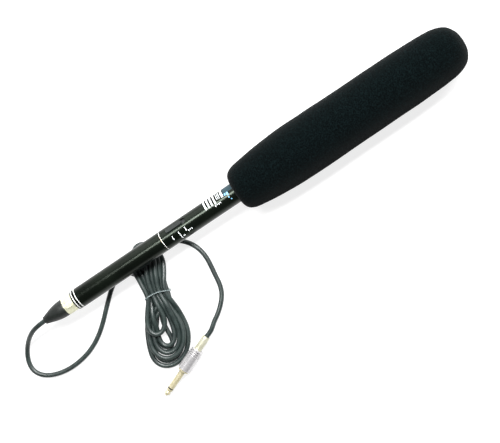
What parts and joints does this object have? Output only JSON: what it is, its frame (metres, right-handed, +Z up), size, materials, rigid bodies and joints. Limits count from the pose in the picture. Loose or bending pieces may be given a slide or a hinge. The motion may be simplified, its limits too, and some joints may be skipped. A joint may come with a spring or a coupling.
{
  "type": "shotgun microphone",
  "caption": "Long tube shotgun microphone with foam windscreen, slide switch and a plugged-in cable tied in a hank, ending in a phone jack.",
  "frame": {"origin": "middle of the microphone's underside, on the surface that it lies on", "axes": "+X along the microphone towards the windscreen's tip, +Z up, +Y to the left of +X"},
  "size_m": [0.5528, 0.1636, 0.059],
  "materials": {
    "tube_black": "satin anodised",
    "trim_silver": "polished",
    "socket_black": "matt",
    "contact_gold": "gold plated",
    "spring_steel": "bright",
    "battery_wrap": "gloss",
    "liner_paper": "matt",
    "coupling_brass": "machined",
    "ring_white": "gloss",
    "switch_black": "matt",
    "knob_black": "textured",
    "board_green": "solder mask",
    "parts_grey": "gloss",
    "screw_steel": "bright",
    "capsule_metal": "satin",
    "mount_rubber": "matt",
    "liner_cloth": "silk",
    "mesh_metal": "woven",
    "print_white": "screen print",
    "badge_blue": "gloss",
    "badge_light": "screen print",
    "foam_black": "open-cell foam",
    "plug_nickel": "satin nickel",
    "boot_rubber": "matt",
    "clamp_plastic": "matt",
    "cord_rubber": "matt",
    "tie_plastic": "satin",
    "jack_gold": "pale gold plated",
    "jack_chrome": "polished",
    "jack_sleeve_metal": "satin"
  },
  "bodies": {
    "rear_half": {"rear_tube": "tube_black", "trim_rings": "trim_silver", "xlr_socket": "socket_black", "xlr_pins": "contact_gold", "socket_screw": "screw_steel", "rear_contact": "contact_gold", "battery_spring": "spring_steel", "battery": "battery_wrap", "battery_liner": "liner_paper"},
    "coupling": {"thread_sleeve": "coupling_brass", "joint_ring": "ring_white", "front_contact": "contact_gold"},
    "front_half": {"front_tube": "tube_black", "switch_bezel": "switch_black", "switch_body": "switch_black", "circuit_board": "board_green", "board_parts": "parts_grey", "board_screws": "screw_steel", "capsule": "capsule_metal", "capsule_mount": "mount_rubber", "slotted_tube": "tube_black", "acoustic_liner": "liner_cloth", "front_cap": "tube_black", "front_mesh": "mesh_metal", "printed_bars": "print_white", "printed_ticks": "print_white", "badge": "badge_blue", "badge_dots": "badge_light"},
    "switch": {"switch_knob": "knob_black"},
    "windscreen": {"windscreen": "foam_black"},
    "cable": {"plug_shell": "plug_nickel", "plug_insert": "socket_black", "plug_contacts": "contact_gold", "latch_leaf": "spring_steel", "cable_clamp": "clamp_plastic", "plug_boot": "boot_rubber", "cord_a": "cord_rubber", "cord_hank": "cord_rubber", "hank_tie": "tie_plastic", "cord_b": "cord_rubber", "jack_tip": "jack_gold", "jack_insulator": "socket_black", "jack_shaft": "jack_gold", "jack_clamp": "spring_steel"},
    "latch": {"latch_button": "plug_nickel"},
    "jack_back": {"jack_grip": "jack_sleeve_metal"},
    "jack_barrel": {"jack_barrel": "jack_chrome"}
  },
  "joints": [
    {"name": "coupling_travel", "type": "slide", "parent": "rear_half", "child": "coupling", "axis": [1, 0, 0], "range_m": [0, 0.0061]},
    {"name": "body_unscrew", "type": "hinge", "parent": "coupling", "child": "front_half", "pos_m": [-0.121, 0, 0.0295], "axis": [1, 0, 0], "range_deg": [0, 2160]},
    {"name": "switch_slide", "type": "slide", "parent": "front_half", "child": "switch", "axis": [1, 0, 0], "range_m": [0, 0.004]},
    {"name": "windscreen_pull", "type": "slide", "parent": "front_half", "child": "windscreen", "axis": [1, 0, 0], "range_m": [0, 0.26]},
    {"name": "plug_pull", "type": "slide", "parent": "rear_half", "child": "cable", "axis": [-1, 0, 0], "range_m": [0, 0.014]},
    {"name": "latch_press", "type": "slide", "parent": "cable", "child": "latch", "axis": [0, 0, -1], "range_m": [0, 0.0009], "stiffness_N_per_m": 800},
    {"name": "barrel_travel", "type": "slide", "parent": "cable", "child": "jack_back", "axis": [0.9304, 0.3665, 0], "range_m": [0, 0.0051]},
    {"name": "barrel_unscrew", "type": "hinge", "parent": "jack_back", "child": "jack_barrel", "pos_m": [-0.17241, -0.116, 0.007], "axis": [0.9304, 0.3665, 0], "range_deg": [0, 1800]}
  ],
  "couplings": [
    {"joint": "coupling_travel", "follows": "body_unscrew", "m_per_rad": 0.00015915},
    {"joint": "barrel_travel", "follows": "barrel_unscrew", "m_per_rad": 0.00015915}
  ]
}
